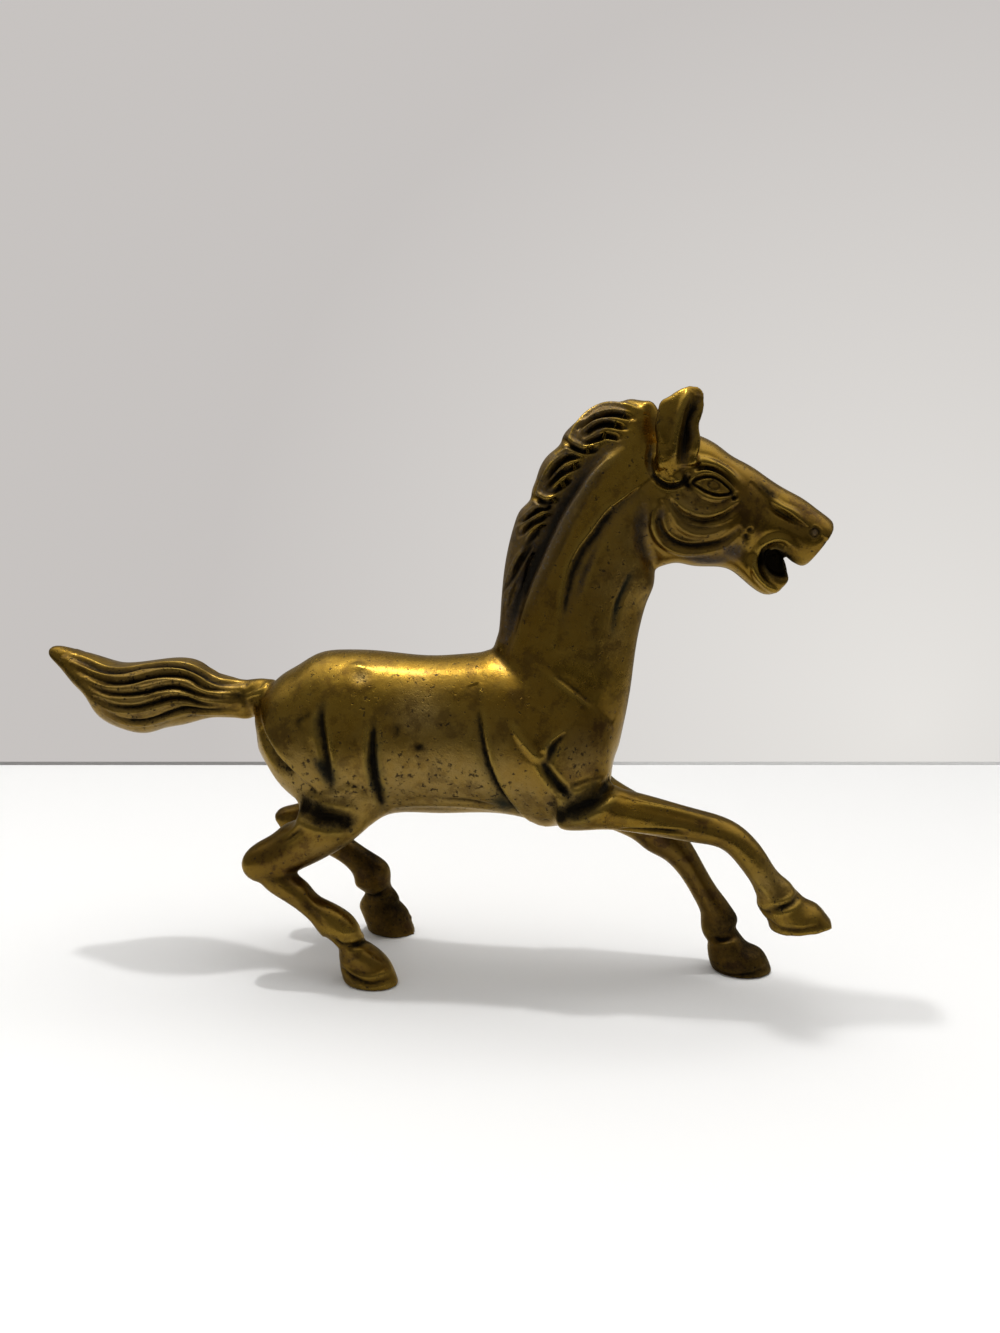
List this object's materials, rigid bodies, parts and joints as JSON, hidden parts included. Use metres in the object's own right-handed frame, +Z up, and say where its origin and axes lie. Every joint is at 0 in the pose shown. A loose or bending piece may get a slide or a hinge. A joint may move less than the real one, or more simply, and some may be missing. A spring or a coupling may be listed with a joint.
{
  "type": "horse figurine",
  "caption": "Galloping horse figurine in aged cast brass, hollow body with brazed-on legs, tail, mane and ears, standing freely on its hooves.",
  "frame": {"origin": "on the ground, under the middle of the whole horse's length and width", "axes": "+X towards the head, +Y towards the horse's left side, +Z up"},
  "size_m": [0.2626, 0.056, 0.1918],
  "materials": {
    "aged_brass": "semi-polished cast brass, darkened by age, with dirt and verdigris in the hollows",
    "braze": "rough brazing alloy, dark and dirty"
  },
  "bodies": {
    "root": {"left_half_shell": "aged_brass", "right_half_shell": "aged_brass", "seam_braze": "braze", "mane": "aged_brass", "mane_braze": "braze", "left_ear": "aged_brass", "left_ear_braze": "braze", "right_ear": "aged_brass", "right_ear_braze": "braze", "tail": "aged_brass", "tail_braze": "braze", "hind_left_leg": "aged_brass", "hind_left_braze": "braze", "hind_right_leg": "aged_brass", "hind_right_braze": "braze", "front_left_leg": "aged_brass", "front_left_braze": "braze", "front_right_leg": "aged_brass", "front_right_braze": "braze"}
  },
  "joints": []
}
